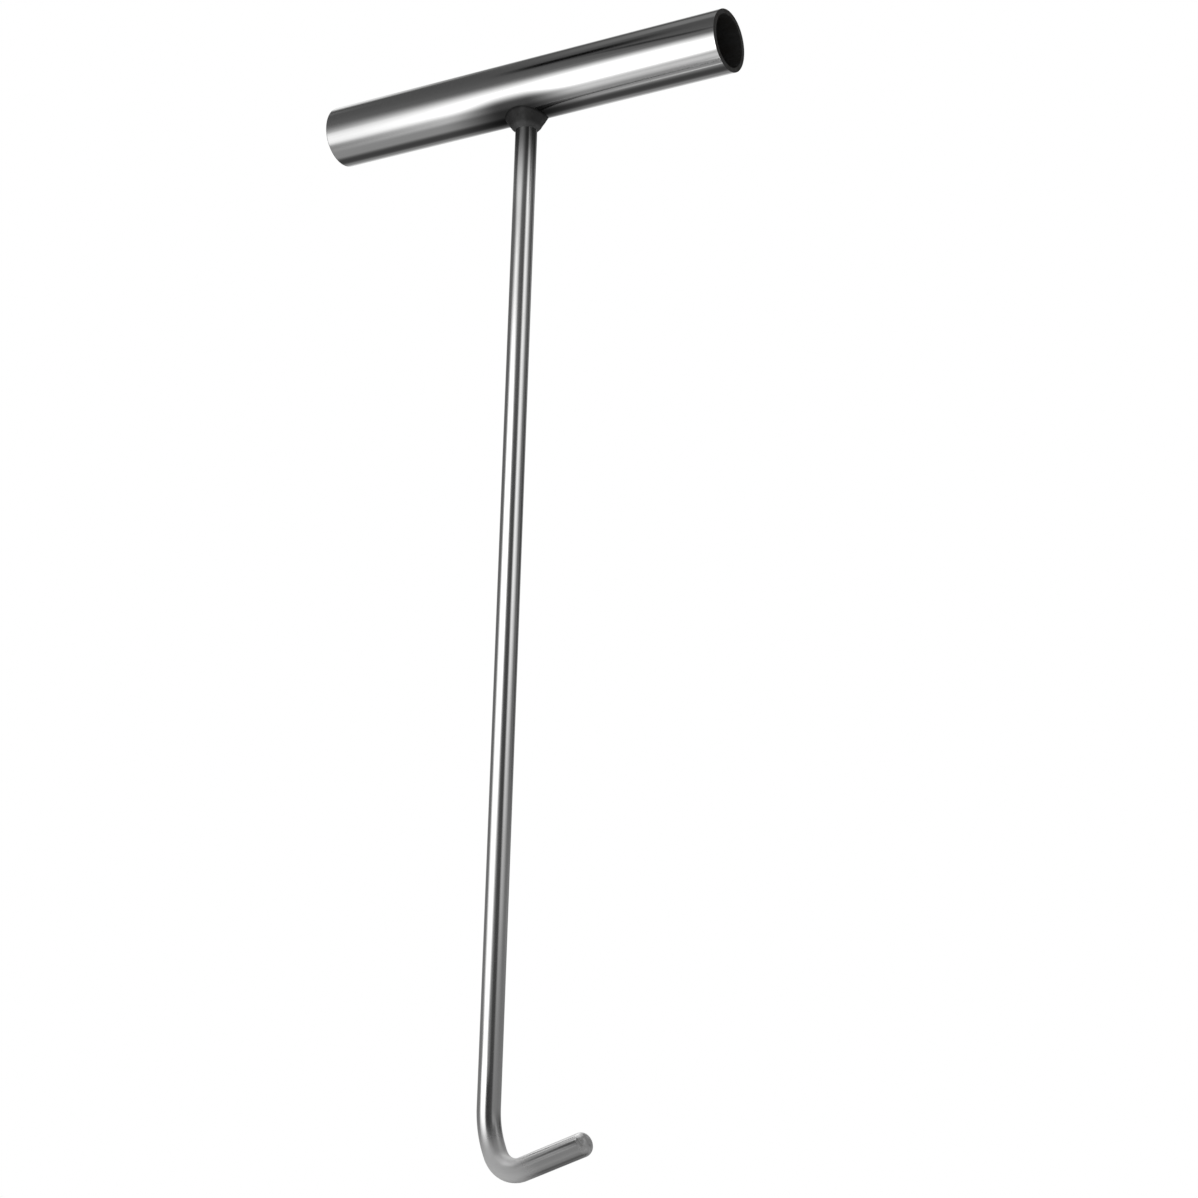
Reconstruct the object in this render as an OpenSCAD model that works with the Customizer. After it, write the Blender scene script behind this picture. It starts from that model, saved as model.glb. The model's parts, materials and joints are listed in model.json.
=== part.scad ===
// Manhole cover lifter: a round bar bent into a hook and welded under a tube handle.
// Millimetres, +Z up. The origin is the centre of the handle tube, on the line of the shank.
// The tube lies along X, the shank hangs down -Z, and the hook turns towards +X.

/* [Handle tube] */
// Outside diameter of the tube
handle_od = 33.7; // [26:0.1:48.3]
// Wall of the tube
handle_wall = 2.6; // [1.6:0.1:4]
// Length of the tube
handle_len = 250; // [120:1:400]
// Broken edge round the mouths of the tube, outside and inside
handle_edge = 0.4; // [0.1:0.1:0.6]

/* [Hook rod] */
// Diameter of the bar
rod_d = 12; // [8:0.5:16]
// Height from the underside of the hook to the top of the handle
overall_h = 600; // [350:1:1000]
// Centreline radius of the easy curve at the foot of the shank
lead_r = 54; // [30:1:90]
// Angle that the easy curve turns through
lead_turn = 25; // [5:1:40]
// Thinning of the bar's radius where it is drawn round the easy curve
lead_thinning = 0.03; // [0.02:0.01:0.1]
// Centreline radius of the tight bend
hook_r = 13; // [9:0.5:25]
// Further thinning of the bar's radius round the tight bend
hook_thinning = 0.05; // [0.03:0.01:0.2]
// Angle that the toe rises above the horizontal
toe_rise = 19; // [0:1:35]
// Straight length of the toe
toe_len = 39.5; // [20:0.5:80]
// Rounded edge at the end of the toe
toe_edge = 4.5; // [0.2:0.1:4.8]

/* [Weld] */
// Leg of the weld down the shank
weld_rod_leg = 7; // [4:0.1:10]
// Leg of the weld along the length of the tube
weld_along_leg = 6.2; // [4:0.1:9]
// Leg of the weld round the tube
weld_round_leg = 5; // [3:0.1:8]
// Swell of the weld's face beyond a straight one
weld_crown = 0.4; // [0:0.1:1]
// Gap between the coped end of the shank and the tube, which the weld closes
fit_gap = 0.1; // [0:0.05:0.5]

/* [Hidden] */
$fn = 96;

// Steps of the weld's mesh: round the shank, across its face and across its foot on the tube
weld_turns = 64;
weld_face_steps = 6;
weld_foot_steps = 4;

// Length by which a bend laps into the stretches before and after it
bend_lap = 0.5;

tube_r = handle_od / 2;
bore_r = tube_r - handle_wall;
rod_r = rod_d / 2;
lead_bar_r = rod_r - lead_thinning;
hook_bar_r = lead_bar_r - hook_thinning;

// The rounding of the toe's end leaves at least this share of the bar's radius flat
toe_flat_share = 0.2;
toe_round = min(toe_edge, (1 - toe_flat_share) * rod_r);

// The hook in the XZ plane, each place as [x, z] from the foot of the straight shank
toe_turn = 90 + toe_rise;
lead_centre = [lead_r, 0];
hook_centre = lead_centre - (lead_r - hook_r) * [cos(lead_turn), sin(lead_turn)];
toe_start = hook_centre - hook_r * [cos(toe_turn), sin(toe_turn)];
hook_depth = hook_r + hook_bar_r - hook_centre[1];
shank_foot_z = tube_r + hook_depth - overall_h;

function in_xz(p) = [p[0], 0, p[1]];

// Mouth-to-mouth section of the tube wall, turned about the tube's axis
function tube_wall() = let (end = handle_len / 2, in = end - handle_edge) [
    [bore_r, -in], [bore_r + handle_edge, -end], [tube_r - handle_edge, -end], [tube_r, -in],
    [tube_r, in], [tube_r - handle_edge, end], [bore_r + handle_edge, end], [bore_r, in]
];

module handle_tube() {
    color("silver")
        rotate([0, 90, 0])
            rotate_extrude()
                polygon(tube_wall());
}

// A bend of the bar about a centre at the origin, from one angle below -X to another
module bar_bend(radius, bar_r, from, to) {
    lap = bend_lap / radius * 180 / PI;
    rotate([90, 180, 0])
        rotate_extrude(start = from - lap, angle = to - from + 2 * lap)
            translate([radius, 0])
                circle(r = bar_r);
}

// Straight shank from the hook up to the tube, coped to the tube's outside
module shank() {
    difference() {
        translate([0, 0, shank_foot_z])
            cylinder(r = rod_r, h = -shank_foot_z);
        rotate([0, 90, 0])
            cylinder(r = tube_r + fit_gap, h = handle_len, center = true);
    }
}

// Straight toe along +Z from the origin, with a rounded edge round its flat end
module toe() {
    rotate_extrude() {
        square([rod_r, toe_len - toe_round]);
        square([rod_r - toe_round, toe_len]);
        translate([rod_r - toe_round, toe_len - toe_round])
            intersection() {
                circle(r = toe_round);
                square(toe_round);
            }
    }
}

module hook_rod() {
    color("silver") {
        shank();
        translate([0, 0, shank_foot_z]) {
            translate(in_xz(lead_centre))
                bar_bend(lead_r, lead_bar_r, 0, lead_turn);
            translate(in_xz(hook_centre))
                bar_bend(hook_r, hook_bar_r, lead_turn, toe_turn);
            translate(in_xz(toe_start))
                rotate([0, 90 - toe_rise, 0])
                    toe();
        }
    }
}

// Point on the tube's underside, a leg out from the shank in the direction of angle a
function on_tube(a, leg) =
    let (wrap = asin(rod_r * sin(a) / tube_r) + leg * sin(a) / tube_r * 180 / PI)
    [(rod_r + leg) * cos(a), tube_r * sin(wrap), -tube_r * cos(wrap)];
function tube_leg(a) = norm([weld_along_leg * cos(a), weld_round_leg * sin(a)]);
function rod_toe(a) = [rod_r * cos(a), rod_r * sin(a), -tube_r - weld_rod_leg];

// Point of the weld's face, from 0 at the shank to 1 at the tube
function weld_face(a, t) =
    let (low = rod_toe(a), high = on_tube(a, tube_leg(a)), out = (low + high) / 2 - on_tube(a, 0))
    low + t * (high - low) + 4 * t * (1 - t) * weld_crown * out / norm(out);

// Closed section of the weld: up its face, then back along the tube to the root
function weld_section(a) = [
    for (i = [0:weld_face_steps]) weld_face(a, i / weld_face_steps),
    for (i = [weld_foot_steps - 1:-1:0]) on_tube(a, tube_leg(a) * i / weld_foot_steps)
];

module weld_fillet() {
    points = [for (k = [0:weld_turns - 1]) each weld_section(k * 360 / weld_turns)];
    ring = weld_face_steps + 1 + weld_foot_steps;
    faces = [
        for (k = [0:weld_turns - 1], i = [0:ring - 1])
            let (here = k * ring, there = (k + 1) % weld_turns * ring, j = (i + 1) % ring)
                each [[here + i, there + j, there + i], [here + i, here + j, there + j]]
    ];
    color("dimgray")
        polyhedron(points, faces);
}

handle_tube();
hook_rod();
weld_fillet();
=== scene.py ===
"""Manhole cover lifter: a plated round bar, bent into a hook and welded under a tube handle."""
import json
import logging
import math
from dataclasses import dataclass
from enum import Enum
from typing import Callable, Mapping, Optional, Sequence, Union

import bmesh
import bpy
from mathutils import Matrix, Vector


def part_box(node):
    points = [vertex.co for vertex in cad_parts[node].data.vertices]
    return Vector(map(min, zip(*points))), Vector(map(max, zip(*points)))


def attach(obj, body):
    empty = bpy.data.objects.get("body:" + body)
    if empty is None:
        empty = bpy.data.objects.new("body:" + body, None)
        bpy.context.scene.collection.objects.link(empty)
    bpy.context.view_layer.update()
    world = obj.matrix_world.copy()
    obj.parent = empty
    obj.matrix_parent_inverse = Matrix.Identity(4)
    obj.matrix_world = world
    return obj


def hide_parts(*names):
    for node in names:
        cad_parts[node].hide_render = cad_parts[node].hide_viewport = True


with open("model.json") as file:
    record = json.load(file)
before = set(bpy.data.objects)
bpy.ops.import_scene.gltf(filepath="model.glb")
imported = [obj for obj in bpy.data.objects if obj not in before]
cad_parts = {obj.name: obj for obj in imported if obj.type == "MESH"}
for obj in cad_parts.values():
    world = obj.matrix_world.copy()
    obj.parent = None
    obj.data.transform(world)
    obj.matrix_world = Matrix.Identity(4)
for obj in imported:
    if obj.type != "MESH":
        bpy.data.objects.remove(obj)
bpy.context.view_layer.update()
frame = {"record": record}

MM = 0.001
FULL_TURN = 2 * math.pi
ROOT = "root"
BAR_PLACE = "bar_place"
BEAD_SHARE = "bead_share"
SHARP_ANGLE = math.radians(35)
MERGE_GAP = 0.001 * MM
NEAR_ENOUGH = 0.01 * MM
NOISE_MIDDLE = 0.5
PLAIN_SLANT = 0.5
LOG = logging.getLogger("cover_lifter")

Operand = Union["Signal", float]
Link = Union["Signal", float, Sequence[float]]
Place = Callable[[float], Vector]


# Shader maths

class Signal:
    """An output socket of a shader; arithmetic on it adds Math nodes."""

    def __init__(self, graph: "ShaderGraph", socket: bpy.types.NodeSocket) -> None:
        """Keeps the graph that the socket belongs to."""
        self.graph = graph
        self.socket = socket

    def __add__(self, other: Operand) -> "Signal":
        """The sum."""
        return self.graph.math("ADD", self, other)

    def __radd__(self, other: Operand) -> "Signal":
        """The sum with a number in front."""
        return self.graph.math("ADD", other, self)

    def __sub__(self, other: Operand) -> "Signal":
        """The difference."""
        return self.graph.math("SUBTRACT", self, other)

    def __rsub__(self, other: Operand) -> "Signal":
        """The difference from a number in front."""
        return self.graph.math("SUBTRACT", other, self)

    def __mul__(self, other: Operand) -> "Signal":
        """The product."""
        return self.graph.math("MULTIPLY", self, other)

    def __rmul__(self, other: Operand) -> "Signal":
        """The product with a number in front."""
        return self.graph.math("MULTIPLY", other, self)


class ShaderGraph:
    """The node tree of one material or of the world, cleared and ready for nodes."""

    def __init__(self, tree: bpy.types.NodeTree) -> None:
        """Empties the tree."""
        self.tree = tree
        tree.nodes.clear()

    def node(
        self,
        kind: str,
        settings: Optional[Mapping[str, object]] = None,
        inputs: Optional[Mapping[Union[str, int], Link]] = None,
        output: Union[str, int] = 0,
    ) -> Signal:
        """Adds one node.

        Args:
            kind: Blender's name of the node type.
            settings: attributes of the node, set first; "stops" are a ramp's places and greys.
            inputs: values or signals for its sockets, by name or number.
            output: the socket that the signal stands for.

        Returns:
            The signal of that output.
        """
        made = self.tree.nodes.new(kind)
        for name, value in (settings or {}).items():
            if name == "stops":
                self._set_stops(made.color_ramp, value)
            else:
                setattr(made, name, value)
        for key, value in (inputs or {}).items():
            if isinstance(value, Signal):
                self.tree.links.new(value.socket, made.inputs[key])
            else:
                made.inputs[key].default_value = value
        return Signal(self, made.outputs[output]) if len(made.outputs) else Signal(self, None)

    def math(self, operation: str, *operands: Operand) -> Signal:
        """A Math node of the operands."""
        return self.node("ShaderNodeMath", {"operation": operation}, dict(enumerate(operands)))

    def smooth(self, value: Signal, low: float, high: float) -> Signal:
        """A soft step of value from 0 at low to 1 at high."""
        places = {"Value": value, "From Min": low, "From Max": high}
        return self.node("ShaderNodeMapRange", {"interpolation_type": "SMOOTHSTEP"}, places)

    def mix_colour(self, share: Link, first: Link, second: Link) -> Signal:
        """The colour between first, at a share of 0, and second, at 1."""
        colours = {"Factor": share, 6: first, 7: second}
        return self.node("ShaderNodeMix", {"data_type": "RGBA"}, colours, 2)

    def noise(self, place: Signal, stretch: Sequence[float], detail: float) -> Signal:
        """Adds noise.

        Args:
            place: the coordinates that it is laid out in.
            stretch: how many grains it has per metre along each axis.
            detail: how many finer layers it has.

        Returns:
            The noise, from 0 to 1 about its middle.
        """
        sockets = {"Vector": place, "Scale": stretch}
        spaced = self.node("ShaderNodeMapping", {"vector_type": "POINT"}, sockets)
        return self.node("ShaderNodeTexNoise", {}, {"Vector": spaced, "Scale": 1.0, "Detail": detail})

    def object_place(self) -> Signal:
        """The place on a piece, in the frame's own metres."""
        return self.node("ShaderNodeTexCoord", None, None, "Object")

    def part(self, vector: Signal, axis: str) -> Signal:
        """One component of a vector: X, Y or Z."""
        return self.node("ShaderNodeSeparateXYZ", {}, {"Vector": vector}, axis)

    def relief(self, height: Signal, depth: float) -> Signal:
        """The normal of a surface with relief of the given depth."""
        sockets = {"Strength": 1.0, "Distance": depth, "Height": height}
        return self.node("ShaderNodeBump", {}, sockets)

    @staticmethod
    def _set_stops(ramp: bpy.types.ColorRamp, stops: Sequence[Sequence[float]]) -> None:
        """Gives a ramp its stops.

        Args:
            ramp: the ramp, with Blender's two stops.
            stops: place and grey of each, in order.
        """
        while len(ramp.elements) < len(stops):
            ramp.elements.new(1.0)
        for element, (place, level) in zip(ramp.elements, stops):
            element.position = place
            element.color = grey(level)


def grey(level: float, warmth: float = 0.0) -> tuple[float, float, float, float]:
    """A grey as a colour, a little warm or, below zero, a little cold."""
    return (level * (1 + warmth), level, level * (1 - warmth), 1.0)


BLACK = grey(0.0)


# Finishes

class Grain(Enum):
    """What the drawing lines of a plated piece follow."""

    TUBE = "along the handle"
    BAR = "along the bar, round its bends"


@dataclass(frozen=True)
class WeldShade:
    """Painted shade round the weld bead: the shadow and dark reflections that the tube and the rod throw
    on each other, painted as a darkening of their colour.

    Each limit is a pair of places: where the painted shade is still full, and where it has faded out.
    """

    along_tube: tuple[float, float]
    height: tuple[float, float]
    depth: float
    middle: float = -2 * MM
    arch_per_metre: float = 2.2

    def mask(self, graph: ShaderGraph) -> Signal:
        """How dark the painted shade is at each place.

        Args:
            graph: the material's graph.

        Returns:
            A signal from 0, clear, to the painted shade's depth.
        """
        place = graph.object_place()
        x = graph.part(place, "X") - self.middle
        beside = graph.smooth(graph.math("ABSOLUTE", x), *self.along_tube)
        arched = graph.part(place, "Z") + x * x * self.arch_per_metre
        beyond = graph.smooth(arched, *self.height)
        return (1.0 - beside) * (1.0 - beyond) * self.depth


@dataclass(frozen=True)
class BendDulling:
    """The matt skin that bending leaves on the bar, and the worn toe beyond the bend.

    The skin is most matt on the outside of the bend. The limits are lengths along the bar, each a
    pair of places between which the change is made.
    """

    bend: tuple[float, float]
    toe: tuple[float, float]
    tip: tuple[float, float]
    bend_roughness: float = 0.4
    toe_roughness: float = 0.05
    tip_roughness: float = 0.12
    outer_mattness: float = 0.52
    inner_mattness: float = 0.2
    tip_mattness: float = 0.2
    tip_wear: float = 0.15
    tip_grain: float = 0.4
    tip_grain_per_metre: float = 700.0
    tip_grain_detail: float = 3.0
    inside: tuple[float, float] = (-6 * MM, 4 * MM)

    def wear(self, graph: ShaderGraph, place: Signal) -> tuple[Signal, Signal, Signal]:
        """What bending and use have done to the plating.

        Args:
            graph: the material's graph.
            place: the coordinates along and round the bar.

        Returns:
            The roughness to add, how matt the surface is, and how far its colour is darkened.
        """
        inward = graph.part(place, "X")
        along = graph.part(place, "Z")
        toe = graph.smooth(along, *self.toe)
        tip = graph.smooth(along, *self.tip)
        bend = graph.smooth(along, *self.bend) * (1.0 - toe)
        inner = graph.smooth(inward, *self.inside)
        mattness = self.outer_mattness - inner * (self.outer_mattness - self.inner_mattness)
        rough = bend * self.bend_roughness + toe * self.toe_roughness + tip * self.tip_roughness
        spots = graph.noise(place, (self.tip_grain_per_metre,) * 3, self.tip_grain_detail)
        worn = tip * ((spots - NOISE_MIDDLE) * self.tip_grain + self.tip_wear)
        return rough, bend * mattness + tip * self.tip_mattness, worn


@dataclass(frozen=True)
class BrightPlating:
    """Bright plating over drawn steel: a mirror with faint drawing lines, haze and pinholes."""

    name: str
    grain: Grain
    weld_shade: WeldShade
    dulling: Optional[BendDulling] = None
    tone: float = 0.66
    dull_tone: float = 0.6
    dull_warmth: float = 0.006
    roughness: float = 0.07
    line_roughness: float = 0.05
    haze_roughness: float = 0.05
    pit_roughness: float = 0.2
    line_depth: float = 0.004 * MM
    lines_per_metre: float = 1400.0
    line_run_per_metre: float = 9.0
    line_detail: float = 3.0
    line_limits: tuple[float, float] = (0.35, 0.72)
    fine_share: float = 0.6
    fine_height: float = 0.5
    band_widening: float = 6.0
    band_lengthening: float = 2.0
    band_detail: float = 2.0
    haze_per_metre: float = 30.0
    haze_detail: float = 5.0
    haze_limits: tuple[float, float] = (0.42, 0.75)
    haze_share: float = 0.5
    pits_per_metre: float = 420.0
    pit_detail: float = 1.0
    pit_limits: tuple[float, float] = (0.76, 0.86)

    def _place(self, graph: ShaderGraph) -> Signal:
        """Finds the coordinates in which the drawing lines run straight along Z.

        Args:
            graph: the material's graph.

        Returns:
            The coordinates.
        """
        if self.grain is Grain.BAR:
            return graph.node("ShaderNodeAttribute", {"attribute_name": BAR_PLACE}, None, "Vector")
        sockets = {"Vector": graph.object_place(), "Rotation": (0.0, -math.pi / 2, 0.0)}
        return graph.node("ShaderNodeMapping", {"vector_type": "POINT"}, sockets)

    def material(self) -> bpy.types.Material:
        """Makes the material.

        Returns:
            The finished material.
        """
        made = new_material(self.name)
        graph = ShaderGraph(made.node_tree)
        place = self._place(graph)
        across, along = self.lines_per_metre, self.line_run_per_metre
        wide, long = across / self.band_widening, along / self.band_lengthening
        fine = graph.noise(place, (across, across, along), self.line_detail)
        broad = graph.noise(place, (wide, wide, long), self.band_detail)
        haze = graph.noise(place, (self.haze_per_metre,) * 3, self.haze_detail)
        specks = graph.noise(place, (self.pits_per_metre,) * 3, self.pit_detail)
        pits = graph.smooth(specks, *self.pit_limits)
        lines = graph.smooth(self.fine_share * fine + (1 - self.fine_share) * broad, *self.line_limits)
        clouds = graph.smooth(haze, *self.haze_limits)
        marks = (1 - self.haze_share) * lines + self.haze_share * clouds
        wear = graph.math("MAXIMUM", marks, pits)
        bright = graph.mix_colour(wear, grey(self.tone), grey(self.dull_tone, self.dull_warmth))
        # Painted shade round the weld: the colour is darkened towards black where the tube and the rod
        # shade each other.
        colour = graph.mix_colour(self.weld_shade.mask(graph), bright, BLACK)
        rough = lines * self.line_roughness + clouds * self.haze_roughness + pits * self.pit_roughness
        rough = rough + self.roughness
        metal: Operand = 1.0
        if self.dulling:
            more_rough, matt, worn = self.dulling.wear(graph, place)
            rough = rough + more_rough
            metal = 1.0 - matt
            colour = graph.mix_colour(worn, colour, BLACK)
        normal = graph.relief(fine * self.fine_height + broad - pits, self.line_depth)
        finish_metal(graph, colour, rough, normal, metal)
        return made


@dataclass(frozen=True)
class PlatedWeld:
    """Plating over the weld bead: the same metal, duller and rippled by the passes of the torch, with a
    painted highlight on its lower ring and painted shadow along its top edge against the tube.
    """

    name: str
    tone: float = 0.02
    dull_tone: float = 0.014
    dull_warmth: float = 0.02
    dull_limits: tuple[float, float] = (0.3, 0.75)
    painted_highlight_tone: float = 0.05
    painted_highlight_top: tuple[float, float] = (0.14, 0.42)
    painted_shadow_edge: tuple[float, float] = (0.86, 0.97)
    metal: float = 0.5
    roughness: float = 0.5
    dull_roughness: float = 0.14
    fine_roughness: float = 0.06
    ripple_depth: float = 0.03 * MM
    swirl_per_metre: float = 260.0
    swirl_detail: float = 4.0
    fine_per_metre: float = 1300.0
    fine_detail: float = 2.0
    fine_height: float = 0.15

    def material(self) -> bpy.types.Material:
        """Makes the material.

        Returns:
            The finished material.
        """
        made = new_material(self.name)
        graph = ShaderGraph(made.node_tree)
        place = graph.object_place()
        swirl = graph.noise(place, (self.swirl_per_metre,) * 3, self.swirl_detail)
        fine = graph.noise(place, (self.fine_per_metre,) * 3, self.fine_detail)
        dull = graph.smooth(swirl, *self.dull_limits)
        share = graph.node("ShaderNodeAttribute", {"attribute_name": BEAD_SHARE}, None, "Fac")
        colour = graph.mix_colour(dull, grey(self.tone), grey(self.dull_tone, self.dull_warmth))
        # Painted highlight: the bead's lower ring, which faces down towards the light, is painted
        # lighter.
        colour = graph.mix_colour(graph.smooth(share, *self.painted_highlight_top), grey(self.painted_highlight_tone), colour)
        # Painted shadow: the bead's top edge, where it meets the tube, is painted dark towards black.
        colour = graph.mix_colour(graph.smooth(share, *self.painted_shadow_edge), colour, BLACK)
        rough = dull * self.dull_roughness + fine * self.fine_roughness + self.roughness
        normal = graph.relief(swirl + fine * self.fine_height, self.ripple_depth)
        finish_metal(graph, colour, rough, normal, self.metal)
        return made


@dataclass(frozen=True)
class BareBore:
    """The inside of the tube and its sawn ends, which aren't plated: dark, dull steel."""

    name: str
    tone: float = 0.042
    rust_tone: float = 0.024
    rust_warmth: float = 0.12
    rust_limits: tuple[float, float] = (0.35, 0.7)
    metal: float = 0.6
    roughness: float = 0.55
    rust_roughness: float = 0.2
    scale_depth: float = 0.05 * MM
    scale_per_metre: float = 220.0
    scale_run_per_metre: float = 55.0
    scale_detail: float = 4.0

    def material(self) -> bpy.types.Material:
        """Makes the material.

        Returns:
            The finished material.
        """
        made = new_material(self.name)
        graph = ShaderGraph(made.node_tree)
        stretch = (self.scale_run_per_metre, self.scale_per_metre, self.scale_per_metre)
        scale = graph.noise(graph.object_place(), stretch, self.scale_detail)
        rust = graph.smooth(scale, *self.rust_limits)
        colour = graph.mix_colour(rust, grey(self.tone), grey(self.rust_tone, self.rust_warmth))
        rough = rust * self.rust_roughness + self.roughness
        normal = graph.relief(scale, self.scale_depth)
        finish_metal(graph, colour, rough, normal, self.metal)
        return made


def new_material(name: str) -> bpy.types.Material:
    """An empty material with nodes."""
    made = bpy.data.materials.new(name)
    made.use_nodes = True
    return made


def finish_metal(
    graph: ShaderGraph, colour: Signal, rough: Signal, normal: Signal, metal: Operand
) -> None:
    """Closes a material with one metal shader.

    Args:
        graph: the material's graph.
        colour: the metal's colour.
        rough: its roughness.
        normal: its bumped normal.
        metal: how far the surface is bare metal.
    """
    sockets = {"Base Color": colour, "Roughness": rough, "Normal": normal, "Metallic": metal}
    shader = graph.node("ShaderNodeBsdfPrincipled", {}, sockets)
    graph.node("ShaderNodeOutputMaterial", {}, {"Surface": shader})


# Pieces

class RingSweep:
    """A skin grown ring by ring: each step extrudes the last ring and puts the new one in place."""

    def __init__(self, sides: int, place: Place) -> None:
        """Starts with one ring.

        Args:
            sides: vertices in each ring.
            place: where the vertex at each angle goes.
        """
        self.bm = bmesh.new()
        self.angle = self.bm.verts.layers.float.new("angle")
        ring = bmesh.ops.create_circle(self.bm, cap_ends=False, radius=1.0, segments=sides)["verts"]
        for vert in ring:
            vert[self.angle] = math.atan2(vert.co.y, vert.co.x)
        self.edges = self.bm.edges[:]
        self.first_edges = self.edges
        self._set(ring, place)

    @staticmethod
    def _geometry(found: Sequence[object], kind: type) -> list:
        """The items of one kind in an operator's result."""
        return [item for item in found if isinstance(item, kind)]

    def _set(self, ring: Sequence[bmesh.types.BMVert], place: Place) -> None:
        """Moves each vertex of a ring to its place."""
        for vert in ring:
            vert.co = place(vert[self.angle])

    def _extrude(self) -> list[bmesh.types.BMVert]:
        """Extrudes the last ring.

        Returns:
            The new ring's vertices.
        """
        grown = bmesh.ops.extrude_edge_only(self.bm, edges=self.edges)["geom"]
        self.edges = self._geometry(grown, bmesh.types.BMEdge)
        return self._geometry(grown, bmesh.types.BMVert)

    def grow(self, place: Place) -> list[bmesh.types.BMVert]:
        """Adds a ring.

        Args:
            place: where the vertex at each angle goes.

        Returns:
            The new ring's vertices.
        """
        ring = self._extrude()
        self._set(ring, place)
        return ring

    def close(self, point: Vector) -> None:
        """Draws the skin from the last ring to one point."""
        bmesh.ops.pointmerge(self.bm, verts=self._extrude(), merge_co=point)

    def join(self) -> None:
        """Joins the last ring to the first."""
        bmesh.ops.bridge_loops(self.bm, edges=self.first_edges + self.edges)


def mesh_object(
    bm: bmesh.types.BMesh, name: str, finishes: Sequence[bpy.types.Material]
) -> bpy.types.Object:
    """Puts a bmesh into the scene as an object.

    Args:
        bm: the shape, in place; it is freed.
        name: the object's name.
        finishes: its materials.

    Returns:
        The object.
    """
    mesh = bpy.data.meshes.new(name)
    bm.to_mesh(mesh)
    bm.free()
    for finish in finishes:
        mesh.materials.append(finish)
    made = bpy.data.objects.new(name, mesh)
    bpy.context.scene.collection.objects.link(made)
    return made


def finish_piece(
    bm: bmesh.types.BMesh, name: str, node: str, finishes: Sequence[bpy.types.Material]
) -> bpy.types.Object:
    """Turns a bmesh into a piece that stands for a CAD node.

    Args:
        bm: the shape, in place; it is freed.
        name: the piece's name.
        node: the CAD node that it replaces.
        finishes: the piece's materials.

    Returns:
        The piece.
    """
    bmesh.ops.remove_doubles(bm, verts=bm.verts[:], dist=MERGE_GAP)
    bmesh.ops.recalc_face_normals(bm, faces=bm.faces[:])
    for face in bm.faces:
        face.smooth = True
    for edge in bm.edges:
        edge.smooth = edge.calc_face_angle(0.0) < SHARP_ANGLE
    piece = mesh_object(bm, name, finishes)
    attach(piece, ROOT)
    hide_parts(node)
    LOG.info("%s: %d faces in place of %s", name, len(piece.data.polygons), node)
    return piece


@dataclass
class HandleTube:
    """The tube that the hands hold, open at both ends."""

    length: float
    outer_radius: float
    bore_radius: float
    edge: float = 0.4 * MM
    edge_steps: int = 4
    support: float = 0.08 * MM
    sides: int = 256

    def _wall(self) -> list[tuple[float, float]]:
        """Lays out the wall's section.

        Returns:
            Its corners, each as a place along the tube and a radius.
        """
        end = self.length / 2
        near = end - self.edge - self.support
        bore, outer = self.bore_radius, self.outer_radius
        return [
            (-end, bore), (-end, outer), (-near, outer), (near, outer),
            (end, outer), (end, bore), (near, bore), (-near, bore),
        ]

    def build(self, plating: bpy.types.Material, bore: bpy.types.Material) -> bpy.types.Object:
        """Spins the wall's section about the tube's axis and rounds the mouths.

        Args:
            plating: finish of the outside.
            bore: finish of the inside and the ends.

        Returns:
            The piece.
        """
        bm = bmesh.new()
        corners = [bm.verts.new((x, 0.0, radius)) for x, radius in self._wall()]
        edges = [bm.edges.new((a, b)) for a, b in zip(corners, corners[1:] + corners[:1])]
        bmesh.ops.spin(
            bm, geom=corners + edges, cent=(0, 0, 0), axis=(1, 0, 0), dvec=(0, 0, 0),
            angle=FULL_TURN, steps=self.sides, use_merge=True,
        )
        bmesh.ops.remove_doubles(bm, verts=bm.verts[:], dist=MERGE_GAP)
        end = (self.length - self.edge) / 2
        mouths = [edge for edge in bm.edges if all(abs(vert.co.x) > end for vert in edge.verts)]
        round_mouths = [edge for edge in mouths if self._is_ring(edge)]
        bmesh.ops.bevel(
            bm, geom=round_mouths, offset=self.edge, offset_type="OFFSET", affect="EDGES",
            segments=self.edge_steps, profile=0.5, material=-1,
        )
        plated = self.outer_radius - NEAR_ENOUGH
        for face in bm.faces:
            face.material_index = int(any(math.hypot(v.co.y, v.co.z) < plated for v in face.verts))
        return finish_piece(bm, "handle_tube_skin", "handle_tube", (plating, bore))

    @staticmethod
    def _is_ring(edge: bmesh.types.BMEdge) -> bool:
        """Whether an edge runs round the tube and not across its wall."""
        one, two = (math.hypot(vert.co.y, vert.co.z) for vert in edge.verts)
        return abs(one - two) < NEAR_ENOUGH


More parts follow.
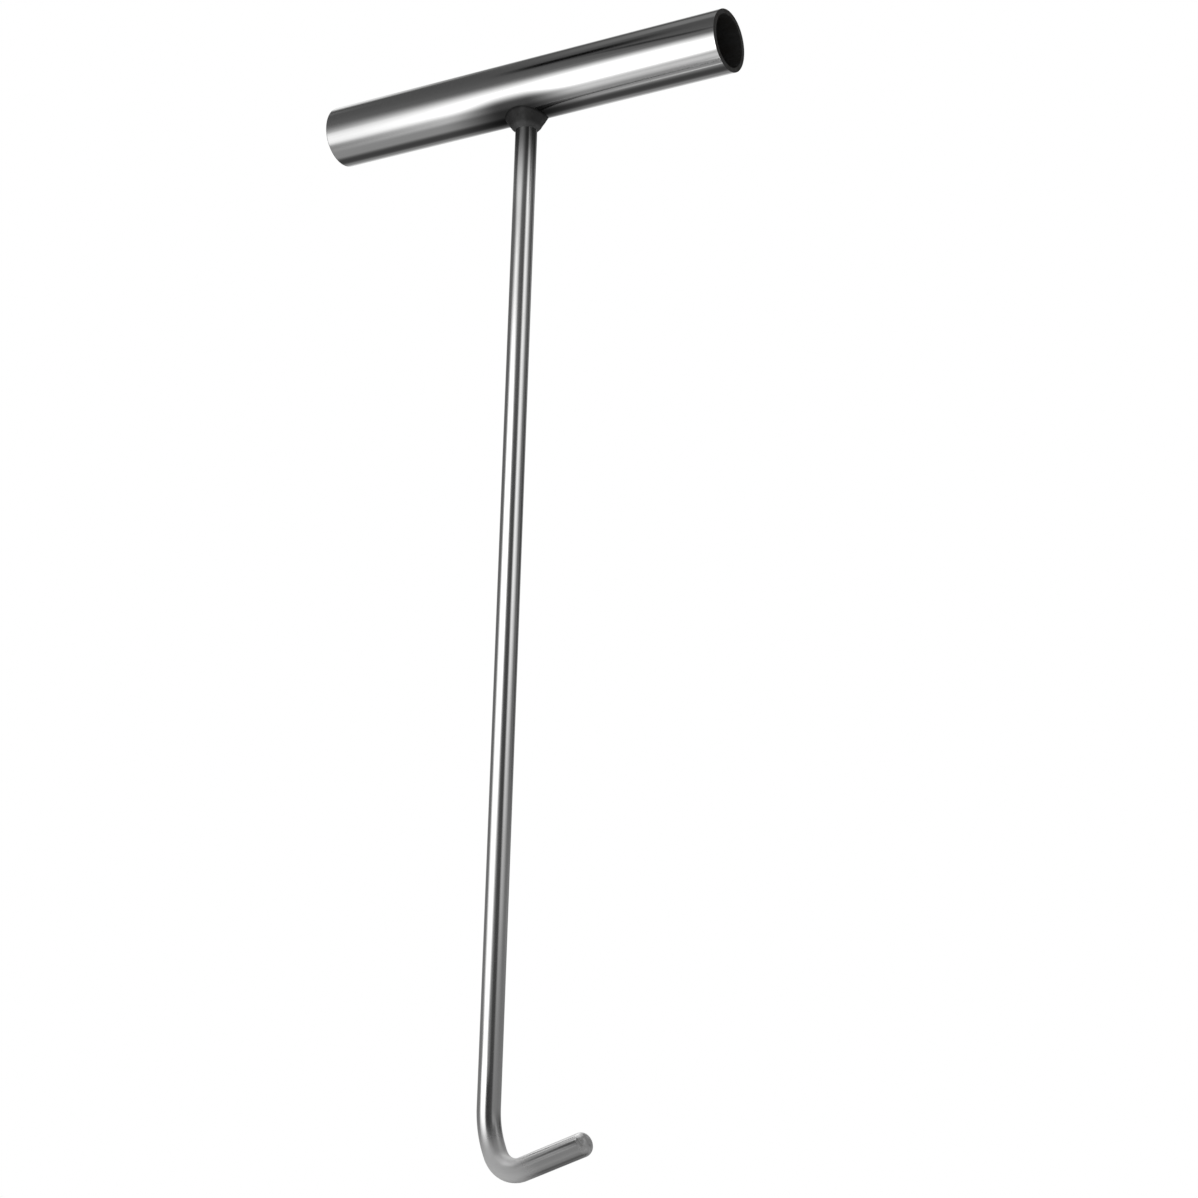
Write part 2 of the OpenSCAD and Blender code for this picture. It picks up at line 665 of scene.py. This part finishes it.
@dataclass
class HookRod:
    """The round bar: the shank, the easy curve, the tight bend and the toe."""

    radius: float
    tube_radius: float
    underside: float
    lead_radius: float = 54 * MM
    lead_turn: float = math.radians(25)
    lead_thinning: float = 0.03 * MM
    hook_radius: float = 13 * MM
    hook_thinning: float = 0.05 * MM
    toe_rise: float = math.radians(19)
    toe_length: float = 39.5 * MM
    toe_edge: float = 4.5 * MM
    fit_gap: float = 0.1 * MM
    sides: int = 128
    shank_steps: int = 24
    bend_degrees_per_ring: float = 2.0
    toe_steps: int = 4
    edge_steps: int = 18
    cap_shares: tuple[float, ...] = (0.9, 0.6, 0.3)
    dull_after: float = 6 * MM
    bright_before: float = 10 * MM
    bright_after: float = 14 * MM
    worn_edge_share: float = 0.3

    def __post_init__(self) -> None:
        """Works out where the stretches meet."""
        self.toe_turn = math.pi / 2 + self.toe_rise
        self.hook_bar = self.radius - self.lead_thinning - self.hook_thinning
        lead_out = Vector((math.cos(self.lead_turn), 0, math.sin(self.lead_turn)))
        centre = Vector((self.lead_radius, 0, 0)) - (self.lead_radius - self.hook_radius) * lead_out
        self.foot = self.underside + self.hook_radius + self.hook_bar - centre.z
        self.hook_centre = centre + Vector((0, 0, self.foot))

    def dulling(self) -> BendDulling:
        """Finds where bending has dulled the bar, measured along it from the tube.

        Returns:
            The bar's dulling.
        """
        shank_end = -self.tube_radius - self.fit_gap - self.foot
        lead_end = shank_end + self.lead_radius * self.lead_turn
        hook_end = lead_end + self.hook_radius * (self.toe_turn - self.lead_turn)
        toe_end = hook_end + self.toe_length
        return BendDulling(
            bend=(shank_end + self.dull_after, lead_end + self.dull_after),
            toe=(hook_end - self.bright_before, hook_end + self.bright_after),
            tip=(toe_end - self.toe_edge, toe_end - self.worn_edge_share * self.toe_edge),
        )

    def _ring(self, centre: Vector, turn: float, bar: float) -> Place:
        """The ring round a place on the bar's centreline.

        Args:
            centre: the place.
            turn: how far the bar has turned from straight down.
            bar: the bar's radius there.

        Returns:
            Where the vertex at each angle goes.
        """
        side = Vector((math.cos(turn), 0, math.sin(turn)))
        front = Vector((0, 1, 0))
        return lambda angle: centre + bar * (math.cos(angle) * side + math.sin(angle) * front)

    def _coped(self, share: float) -> Place:
        """A ring of the shank's end, which is cut to the tube's round underside.

        Args:
            share: the ring's share of the bar's radius.

        Returns:
            Where the vertex at each angle goes.
        """
        def place(angle: float) -> Vector:
            """The vertex at an angle."""
            x, y = share * self.radius * math.cos(angle), share * self.radius * math.sin(angle)
            return Vector((x, y, -math.sqrt((self.tube_radius + self.fit_gap) ** 2 - y * y)))
        return place

    def _stations(self) -> list[tuple[Vector, float, float, float]]:
        """Lays out the rings from the tube down to the toe's end.

        Returns:
            Each ring's centre, turn, bar radius and length along the bar.
        """
        top = -self.tube_radius - self.fit_gap
        run = top - self.foot
        made = []
        for step in range(1, self.shank_steps + 1):
            along = run * step / self.shank_steps
            made.append((Vector((0, 0, top - along)), 0.0, self.radius, along))
        along = run
        lead_centre = Vector((self.lead_radius, 0, self.foot))
        lead_bar = self.radius - self.lead_thinning
        bends = (
            (lead_centre, self.lead_radius, 0.0, self.lead_turn, self.radius, lead_bar),
            (self.hook_centre, self.hook_radius, self.lead_turn, self.toe_turn, lead_bar, self.hook_bar),
        )
        for centre, radius, start, stop, bar_in, bar_out in bends:
            count = round(math.degrees(stop - start) / self.bend_degrees_per_ring)
            for step in range(1, count + 1):
                turn = start + (stop - start) * step / count
                out = Vector((math.cos(turn), 0, math.sin(turn)))
                bar = bar_in + (bar_out - bar_in) * step / count
                made.append((centre - radius * out, turn, bar, along + radius * (turn - start)))
            along += radius * (stop - start)
        ahead = Vector((math.sin(self.toe_turn), 0, -math.cos(self.toe_turn)))
        heel = made[-1][0]
        straight = self.toe_length - self.toe_edge
        for step in range(1, self.toe_steps + 1):
            part = straight * step / self.toe_steps
            made.append((heel + part * ahead, self.toe_turn, self.radius, along + part))
        for step in range(1, self.edge_steps + 1):
            angle = math.pi / 2 * step / self.edge_steps
            part = straight + self.toe_edge * math.sin(angle)
            bar = self.radius - self.toe_edge * (1 - math.cos(angle))
            made.append((heel + part * ahead, self.toe_turn, bar, along + part))
        centre, turn, bar, along = made[-1]
        made.extend((centre, turn, bar * share, along) for share in self.cap_shares)
        return made

    def build(self, plating: bpy.types.Material) -> bpy.types.Object:
        """Sweeps the bar from its coped end down to the end of the toe.

        Args:
            plating: the bar's finish.

        Returns:
            The piece.
        """
        sweep = RingSweep(self.sides, self._coped(self.cap_shares[-1]))
        straight = sweep.bm.verts.layers.float_vector.new(BAR_PLACE)
        for share in (*reversed(self.cap_shares[:-1]), 1.0):
            sweep.grow(self._coped(share))
        for centre, turn, bar, along in self._stations():
            for vert in sweep.grow(self._ring(centre, turn, bar)):
                angle = vert[sweep.angle]
                vert[straight] = Vector((bar * math.cos(angle), bar * math.sin(angle), along))
        sweep.close(self._stations()[-1][0])
        bmesh.ops.holes_fill(sweep.bm, edges=sweep.bm.edges[:], sides=self.sides)
        return finish_piece(sweep.bm, "hook_rod_skin", "hook_rod", (plating,))


@dataclass
class WeldBead:
    """The weld round the shank, under the tube."""

    rod_radius: float
    tube_radius: float
    rod_leg: float = 7 * MM
    along_leg: float = 6.2 * MM
    round_leg: float = 5 * MM
    crown: float = 0.4 * MM
    lip: float = 0.3 * MM
    lip_share: float = 0.26
    lip_spread_share: float = 0.13
    ripple: float = 0.02 * MM
    ripples: int = 17
    ripple_lean: float = 2.5
    sides: int = 272
    face_steps: int = 16
    foot_steps: int = 3

    def _on_tube(self, angle: float, leg: float) -> Vector:
        """Finds a place on the tube's underside.

        Args:
            angle: its direction from the shank.
            leg: how far out from the shank it is, along the tube's skin.

        Returns:
            The place.
        """
        wrap = math.asin(self.rod_radius * math.sin(angle) / self.tube_radius)
        wrap += leg * math.sin(angle) / self.tube_radius
        x = (self.rod_radius + leg) * math.cos(angle)
        return Vector((x, self.tube_radius * math.sin(wrap), -self.tube_radius * math.cos(wrap)))

    def _leg(self, angle: float) -> float:
        """Leg of the weld on the tube in the direction of an angle."""
        return math.hypot(self.along_leg * math.cos(angle), self.round_leg * math.sin(angle))

    def _foot(self, share: float) -> Place:
        """The ring on the tube at a share of the leg."""
        return lambda angle: self._on_tube(angle, share * self._leg(angle))

    def _face(self, share: float) -> Place:
        """The ring on the bead's face, from 0 at the shank to 1 at the tube.

        Args:
            share: how far up the face.

        Returns:
            Where the vertex at each angle goes.
        """
        swell = 4 * share * (1 - share)
        lip = self.lip * math.exp(-(((share - self.lip_share) / self.lip_spread_share) ** 2))

        def place(angle: float) -> Vector:
            """The vertex at an angle."""
            x, y = self.rod_radius * math.cos(angle), self.rod_radius * math.sin(angle)
            low = Vector((x, y, -self.tube_radius - self.rod_leg))
            high = self._on_tube(angle, self._leg(angle))
            out = ((low + high) / 2 - self._on_tube(angle, 0.0)).normalized()
            wave = self.ripple * math.sin(self.ripples * angle + self.ripple_lean * share)
            return low.lerp(high, share) + swell * (self.crown + lip + wave) * out
        return place

    def build(self, plating: bpy.types.Material) -> bpy.types.Object:
        """Sweeps the bead's section round the shank, a ring for each place on it.

        Args:
            plating: the bead's finish.

        Returns:
            The piece.
        """
        sweep = RingSweep(self.sides, self._face(0.0))
        face_share = sweep.bm.verts.layers.float.new(BEAD_SHARE)
        for step in range(1, self.face_steps + 1):
            share = step / self.face_steps
            for vert in sweep.grow(self._face(share)):
                vert[face_share] = share
        for step in range(self.foot_steps - 1, -1, -1):
            sweep.grow(self._foot(step / self.foot_steps))
        sweep.join()
        return finish_piece(sweep.bm, "weld_bead", "weld_fillet", (plating,))


# Studio

def direction(azimuth: float, elevation: float) -> Vector:
    """The unit vector towards an azimuth, 0 along -Y and 90 along +X, and an elevation, in degrees."""
    turn, rise = math.radians(azimuth), math.radians(elevation)
    return Vector((math.sin(turn) * math.cos(rise), -math.cos(turn) * math.cos(rise), math.sin(rise)))


def hide_from(item: bpy.types.Object, *rays: str) -> None:
    """Hides a studio piece from the named kinds of ray."""
    for ray in rays:
        setattr(item, f"visible_{ray}", False)


@dataclass(frozen=True)
class PhotoCamera:
    """The camera at the photograph's viewing angle."""

    azimuth: float = 31.46
    elevation: float = -15.14
    roll: float = 1.65
    distance: float = 1.3203
    aim: tuple[float, float, float] = (0.0, 0.0, -0.291)
    slide_right: float = 0.04701
    slide_up: float = 0.00289
    focal_pixels: float = 2551.8
    frame_pixels: float = 1198.0
    sensor: float = 36.0
    nearest: float = 0.01

    def build(self) -> None:
        """Makes the camera and gives it to the scene."""
        back = direction(self.azimuth, self.elevation)
        level = Vector((0, 0, 1)).cross(back).normalized()
        upright = back.cross(level)
        turn = math.radians(self.roll)
        right = math.cos(turn) * level + math.sin(turn) * upright
        up = -math.sin(turn) * level + math.cos(turn) * upright
        place = Vector(self.aim) + self.distance * back + self.slide_right * right + self.slide_up * up
        lens = bpy.data.cameras.new("photo_camera")
        lens.sensor_width = self.sensor
        lens.lens = self.focal_pixels / self.frame_pixels * self.sensor
        lens.clip_start = self.nearest
        camera = bpy.data.objects.new("photo_camera", lens)
        turned = Matrix((right, up, back)).transposed().to_4x4()
        camera.matrix_world = Matrix.Translation(place) @ turned
        bpy.context.scene.collection.objects.link(camera)
        bpy.context.scene.camera = camera


@dataclass(frozen=True)
class StudioCard:
    """A lit panel, or a black flag, that stands by the tool and is seen only in its reflections."""

    name: str
    centre: tuple[float, float, float]
    facing: tuple[float, float, float]
    width: float
    height: float
    level: float
    run: tuple[float, float, float] = (0.0, 0.0, 0.0)
    soft_start: float = 0.1
    soft_end: float = 0.1
    soft_top: float = 0.1
    soft_foot: float = 0.1
    beam: tuple[float, float] = (90.0, 80.0)
    cover: float = 1.0
    shank_gap: Optional[tuple[float, float]] = None

    def _clear_of_shank(self, graph: ShaderGraph) -> Signal:
        """The gap that the card leaves round the shank, as a soft step away from the shank's axis.

        Args:
            graph: the material's graph.

        Returns:
            A signal from 0, in the gap, to 1.
        """
        place = graph.object_place()
        x, y = graph.part(place, "X"), graph.part(place, "Y")
        return graph.smooth(graph.math("SQRT", x * x + y * y), *self.shank_gap)

    def _material(self) -> bpy.types.Material:
        """Makes the card's even light, on its front alone, with soft borders and a beam.

        Returns:
            The material.
        """
        made = new_material(self.name)
        graph = ShaderGraph(made.node_tree)
        place = graph.node("ShaderNodeUVMap")
        across, upward = graph.part(place, "X"), graph.part(place, "Y")
        borders = (
            (across, self.soft_start),
            (1.0 - across, self.soft_end),
            (upward, self.soft_foot),
            (1.0 - upward, self.soft_top),
        )
        slant = 1.0 - graph.node("ShaderNodeLayerWeight", {}, {"Blend": PLAIN_SLANT}, "Facing")
        dark, full = (math.cos(math.radians(angle)) for angle in self.beam)
        front = 1.0 - graph.node("ShaderNodeNewGeometry", None, None, "Backfacing")
        mask = graph.smooth(slant, dark, full) * front * self.cover
        for inward, soft in borders:
            mask = mask * graph.smooth(inward, 0.0, soft)
        if self.shank_gap:
            mask = mask * self._clear_of_shank(graph)
        glow = graph.node("ShaderNodeEmission", {}, {"Strength": self.level})
        clear = graph.node("ShaderNodeBsdfTransparent")
        both = graph.node("ShaderNodeMixShader", {}, {0: mask, 1: clear, 2: glow})
        graph.node("ShaderNodeOutputMaterial", {}, {"Surface": both})
        return made

    def build(self) -> None:
        """Stands the card in its place, turned to its facing."""
        bm = bmesh.new()
        bm.loops.layers.uv.new("UVMap")
        bmesh.ops.create_grid(bm, x_segments=1, y_segments=1, size=0.5, calc_uvs=True)
        facing = Vector(self.facing).normalized()
        across = Vector(self.run) if any(self.run) else Vector((0, 0, 1)).cross(facing)
        across.normalize()
        upward = facing.cross(across).normalized()
        turned = Matrix((across, upward, across.cross(upward))).transposed().to_4x4()
        size = Matrix.Diagonal((self.width, self.height, 1.0, 1.0))
        place = Matrix.Translation(self.centre) @ turned @ size
        bmesh.ops.transform(bm, matrix=place, verts=bm.verts[:])
        card = mesh_object(bm, self.name, (self._material(),))
        hide_from(card, "camera", "diffuse", "shadow", "transmission")


@dataclass(frozen=True)
class SmallLamp:
    """A small oval lamp with a limited beam, which is seen only in the tool's reflections."""

    name: str
    centre: tuple[float, float, float]
    facing: tuple[float, float, float]
    width: float
    height: float
    watts: float
    beam: float

    def build(self) -> None:
        """Hangs the lamp in its place, turned to its facing."""
        lamp = bpy.data.lights.new(self.name, "AREA")
        lamp.shape = "ELLIPSE"
        lamp.size = self.width
        lamp.size_y = self.height
        lamp.energy = self.watts
        lamp.spread = math.radians(self.beam)
        back = -Vector(self.facing).normalized()
        across = Vector((0, 1, 0)).cross(back).normalized()
        turned = Matrix((across, back.cross(across), back)).transposed().to_4x4()
        held = bpy.data.objects.new(self.name, lamp)
        held.matrix_world = Matrix.Translation(self.centre) @ turned
        bpy.context.scene.collection.objects.link(held)
        hide_from(held, "camera", "diffuse", "transmission")


@dataclass(frozen=True)
class SoftPatch:
    """A soft round patch of the studio's surroundings, lighter or darker than the rest."""

    azimuth: float
    elevation: float
    inner: float
    outer: float
    level: float


@dataclass(frozen=True)
class StudioWorld:
    """White to the eye and the floor; in the metal, a grey room with light and dark patches."""

    heights: tuple[tuple[float, float], ...]
    patches: tuple[SoftPatch, ...]
    white: float = 1.0

    def build(self) -> None:
        """Makes the world and gives it to the scene."""
        world = bpy.data.worlds.new("studio")
        world.use_nodes = True
        graph = ShaderGraph(world.node_tree)
        toward = graph.node("ShaderNodeTexCoord", None, None, "Generated")
        height = graph.part(toward, "Z") * 0.5 + 0.5
        stops = [((1 + math.sin(math.radians(rise))) / 2, level) for rise, level in self.heights]
        room = graph.node("ShaderNodeValToRGB", {"stops": stops}, {"Fac": height})
        for patch in self.patches:
            sockets = {0: toward, 1: tuple(direction(patch.azimuth, patch.elevation))}
            near = graph.node("ShaderNodeVectorMath", {"operation": "DOT_PRODUCT"}, sockets, "Value")
            rim, core = (math.cos(math.radians(angle)) for angle in (patch.outer, patch.inner))
            room = graph.mix_colour(graph.smooth(near, rim, core), room, grey(patch.level))
        plain = graph.node("ShaderNodeBackground", {}, {"Color": grey(self.white), "Strength": 1.0})
        seen = graph.node("ShaderNodeBackground", {}, {"Color": room, "Strength": 1.0})
        in_metal = graph.node("ShaderNodeLightPath", None, None, "Is Glossy Ray")
        both = graph.node("ShaderNodeMixShader", {}, {0: in_metal, 1: plain, 2: seen})
        graph.node("ShaderNodeOutputWorld", {}, {"Surface": both})
        bpy.context.scene.world = world


@dataclass(frozen=True)
class PaleFloor:
    """A plain pale floor, well under the hook, which a view from below looks through."""

    height: float = -0.72
    half_size: float = 30.0
    tone: float = 0.9
    cloud_tone: float = 0.8865
    clouds_per_metre: float = 3.0
    cloud_detail: float = 4.0

    def build(self) -> None:
        """Lays the floor."""
        made = new_material("pale_floor")
        graph = ShaderGraph(made.node_tree)
        clouds = graph.noise(graph.object_place(), (self.clouds_per_metre,) * 3, self.cloud_detail)
        colour = graph.mix_colour(clouds, grey(self.tone), grey(self.cloud_tone))
        shader = graph.node("ShaderNodeBsdfDiffuse", {}, {"Color": colour})
        clear = graph.node("ShaderNodeBsdfTransparent")
        below = graph.node("ShaderNodeNewGeometry", None, None, "Backfacing")
        both = graph.node("ShaderNodeMixShader", {}, {0: below, 1: shader, 2: clear})
        graph.node("ShaderNodeOutputMaterial", {}, {"Surface": both})
        bm = bmesh.new()
        bmesh.ops.create_grid(bm, x_segments=1, y_segments=1, size=self.half_size)
        bmesh.ops.translate(bm, vec=(0, 0, self.height), verts=bm.verts[:])
        floor = mesh_object(bm, "floor", (made,))
        hide_from(floor, "glossy")


def round_shank(
    name: str, azimuth: float, near: tuple[float, float], sides: tuple[float, float],
    slope: tuple[float, float], lean: float = 0.0, **looks: object,
) -> StudioCard:
    """A card that stands by the shank and faces it.

    Args:
        name: the card's name.
        azimuth: where it stands round the shank, in degrees.
        near: distance from the shank and height of the point that the card is laid out from.
        sides: its start and end along its width, from that point.
        slope: its foot and top along its height, from that point.
        lean: how far it leans back from upright, in degrees.
        looks: the card's level, soft borders and beam.

    Returns:
        The card.
    """
    across = Vector((0, 0, 1)).cross(-direction(azimuth, 0.0))
    facing = -direction(azimuth, -lean)
    upward = facing.cross(across)
    laid = near[0] * direction(azimuth, 0.0) + Vector((0, 0, near[1]))
    middle = laid + sum(sides) / 2 * across + sum(slope) / 2 * upward
    width, height = sides[1] - sides[0], slope[1] - slope[0]
    return StudioCard(name, tuple(middle), tuple(facing), width, height, **looks)


KEY_AZIMUTH = -27.0
SHANK_GAP = (8 * MM, 24 * MM)
STUDIO_ROOM = StudioWorld(
    heights=(
        (-90, 0.27), (-60, 0.36), (-35, 0.30), (-10, 0.30), (3, 0.26), (14, 0.17),
        (25, 0.15), (40, 0.12), (60, 0.10), (90, 0.16),
    ),
    patches=(
        SoftPatch(azimuth=-146, elevation=21, inner=8, outer=32, level=0.72),
        SoftPatch(azimuth=-140, elevation=-38, inner=3, outer=24, level=0.07),
        SoftPatch(azimuth=-150, elevation=-65, inner=3, outer=16, level=0.1),
        SoftPatch(azimuth=-172, elevation=-72, inner=5, outer=17, level=0.14),
        SoftPatch(azimuth=-84, elevation=41, inner=6, outer=16, level=0.7),
        SoftPatch(azimuth=-112, elevation=39, inner=7, outer=17, level=1.1),
        SoftPatch(azimuth=43, elevation=4, inner=8, outer=26, level=0.07),
        SoftPatch(azimuth=150, elevation=22, inner=6, outer=17, level=0.06),
        SoftPatch(azimuth=164, elevation=31, inner=6, outer=16, level=0.34),
        SoftPatch(azimuth=150, elevation=-55, inner=10, outer=28, level=0.08),
    ),
)
STUDIO_CARDS = (
    round_shank(
        "key_panel", KEY_AZIMUTH, near=(0.30, 0.0), sides=(-0.34, 0.24), slope=(-0.46, 0.115), level=3.0,
        soft_start=0.47, soft_end=0.53, soft_top=0.46, soft_foot=0.54,
    ),
    round_shank(
        "key_wing", KEY_AZIMUTH, near=(0.28, -0.08), sides=(0.0, 0.45), slope=(-0.3, 0.3), lean=22.0,
        level=2.2, soft_start=0.72, soft_end=0.1, soft_top=0.2, soft_foot=0.2, beam=(26.0, 8.0),
    ),
    round_shank(
        "shank_panel", KEY_AZIMUTH, near=(0.05, 0.0), sides=(-0.045, 0.045), slope=(-0.52, -0.20),
        level=2.0, soft_start=0.4, soft_end=0.55, soft_top=0.6, soft_foot=0.15, beam=(56.0, 36.0),
    ),
    round_shank(
        "foot_panel", KEY_AZIMUTH, near=(0.05, -0.55), sides=(-0.08, 0.075), slope=(0.0, 0.14),
        lean=45.0, level=2.2, soft_start=0.45, soft_end=0.5, soft_top=0.4, soft_foot=0.25,
        beam=(60.0, 53.0),
    ),
    round_shank(
        "bend_panel", KEY_AZIMUTH, near=(0.052, -0.55), sides=(-0.049, 0.045), slope=(-0.036, 0.06),
        lean=45.0, level=1.8, soft_start=0.4, soft_end=0.47, soft_top=0.4, soft_foot=0.47,
        beam=(60.0, 53.0),
    ),
    StudioCard(
        "hook_flag", centre=(0.134, -0.06, -0.5), facing=(0, 0, -1), width=0.272, height=0.16, level=0.1,
        run=(1, 0, 0), soft_start=0.05, soft_end=0.3, soft_top=0.1, soft_foot=0.25, beam=(78.0, 66.0),
        shank_gap=SHANK_GAP,
    ),
    StudioCard(
        "toe_light", centre=(-0.012, 0.035, -0.49), facing=(0, 0, -1), width=0.1, height=0.1, level=1.0,
        run=(1, 0, 0), soft_start=0.6, soft_end=0.2, soft_top=0.15, soft_foot=0.15, beam=(72.0, 58.0),
        shank_gap=SHANK_GAP,
    ),
    StudioCard(
        "toe_flag", centre=(0.0175, -0.038, -0.539), facing=(0, 1, 0), width=0.037, height=0.034,
        level=0.05, soft_start=0.3, soft_end=0.3, soft_top=0.45, soft_foot=0.2,
    ),
    round_shank(
        "back_panel", 155, near=(0.45, -0.27), sides=(-0.36, 0.30), slope=(-0.24, 0.24), lean=30.0,
        level=1.2, soft_start=0.4, soft_end=0.4, soft_top=0.4, soft_foot=0.4, beam=(42.0, 28.0),
    ),
    StudioCard(
        "rod_line", centre=(0.0, 0.042, -0.175), facing=(1, 0, 0), width=0.034, height=0.26, level=0.85,
        run=(0.0, 0.968, 0.25), soft_start=0.5, soft_end=0.5, soft_top=0.85, soft_foot=0.03,
    ),
    StudioCard(
        "brow_panel", centre=(-0.06, -0.24, 0.04), facing=(0, 0, -1), width=0.34, height=0.28, level=1.0,
        run=(1, 0, 0), soft_start=0.4, soft_end=0.4, soft_top=0.2, soft_foot=0.15, beam=(72.0, 66.5),
    ),
    StudioCard(
        "floor_glow", centre=(-0.32, -0.28, -0.6), facing=(0, 0, 1), width=0.6, height=0.44, level=1.6,
        run=(1, 0, 0), soft_start=0.5, soft_end=0.15, soft_top=0.45, soft_foot=0.5, cover=0.4,
    ),
    round_shank(
        "side_panel", 85, near=(0.60, 0.0), sides=(-0.40, 0.36), slope=(-0.55, 0.36), level=1.3,
        soft_start=0.68, soft_end=0.33, soft_top=0.15, soft_foot=0.58,
    ),
    StudioCard(
        "roof_panel", centre=(-0.03, 0.0, 0.30), facing=(0, 0, -1), width=0.34, height=0.2, level=0.26,
        run=(1, 0, 0), soft_start=0.6, soft_end=0.2, soft_top=0.3, soft_foot=0.3,
    ),
    StudioCard(
        "roof_corner", centre=(-0.38, 0.17, 0.27), facing=(0.26, -0.17, -0.27), width=0.36, height=0.14,
        level=1.4, run=(1, 0, 0), soft_start=0.1, soft_end=0.6, soft_top=0.3, soft_foot=0.3,
    ),
    StudioCard(
        "roof_flag", centre=(-0.0825, -0.143, 0.22), facing=(0, 0.5, -0.866), width=0.165, height=0.12,
        level=0.0, run=(1, 0, 0), soft_start=0.26, soft_end=0.5, soft_top=0.45, soft_foot=0.45,
    ),
    StudioCard(
        "corner_flag", centre=(-0.05, -0.21, 0.165), facing=(0.155, 0.18, -0.18), width=0.16,
        height=0.04, level=0.03, run=(0.69, -0.53, -0.49), soft_start=0.5, soft_end=0.2, soft_top=0.45,
        soft_foot=0.45,
    ),
)
TIP_LAMP = SmallLamp(
    "tip_lamp", centre=(0.041, 0.002, -0.51), facing=(0.3, 0.0, -0.95), width=0.062, height=0.068,
    watts=0.0029, beam=110.0,
)

# Painted shade round the weld on the tube and on the rod, and the rod's own roughness
BESIDE_WELD = (8 * MM, 50 * MM)
TUBE_WELD_SHADE = WeldShade(along_tube=BESIDE_WELD, height=(-11.5 * MM, -5.5 * MM), depth=0.9)
ROD_WELD_SHADE = WeldShade(along_tube=BESIDE_WELD, height=(-25 * MM, -66 * MM), depth=0.81)
ROD_ROUGHNESS = 0.1


def mount(name: str) -> dict:
    """One of the record's mounts, by name."""
    return next(item for item in frame["record"]["mounts"] if item["name"] == name)


def main() -> None:
    """Builds the camera, the studio and the tool's three pieces."""
    logging.basicConfig(level=logging.INFO, format="%(name)s: %(message)s")
    bpy.context.scene.view_settings.view_transform = "Standard"
    PhotoCamera().build()
    STUDIO_ROOM.build()
    PaleFloor().build()
    for card in STUDIO_CARDS:
        card.build()
    TIP_LAMP.build()
    tube_low, tube_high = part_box("handle_tube")
    rod_low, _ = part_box("hook_rod")
    tube_radius = tube_high.z
    rod_radius = mount("hook_toe")["dims"]["r_mm"] * MM
    bore_radius = mount("handle_bore")["dims"]["r_mm"] * MM
    handle = HandleTube(tube_high.x - tube_low.x, tube_radius, bore_radius)
    handle_plating = BrightPlating("handle_plating", Grain.TUBE, TUBE_WELD_SHADE)
    handle.build(handle_plating.material(), BareBore("bare_bore").material())
    rod = HookRod(rod_radius, tube_radius, rod_low.z)
    rod_plating = BrightPlating(
        "rod_plating", Grain.BAR, ROD_WELD_SHADE, rod.dulling(), roughness=ROD_ROUGHNESS
    )
    rod.build(rod_plating.material())
    WeldBead(rod_radius, tube_radius).build(PlatedWeld("weld_plating").material())


if __name__ == "__main__":
    main()
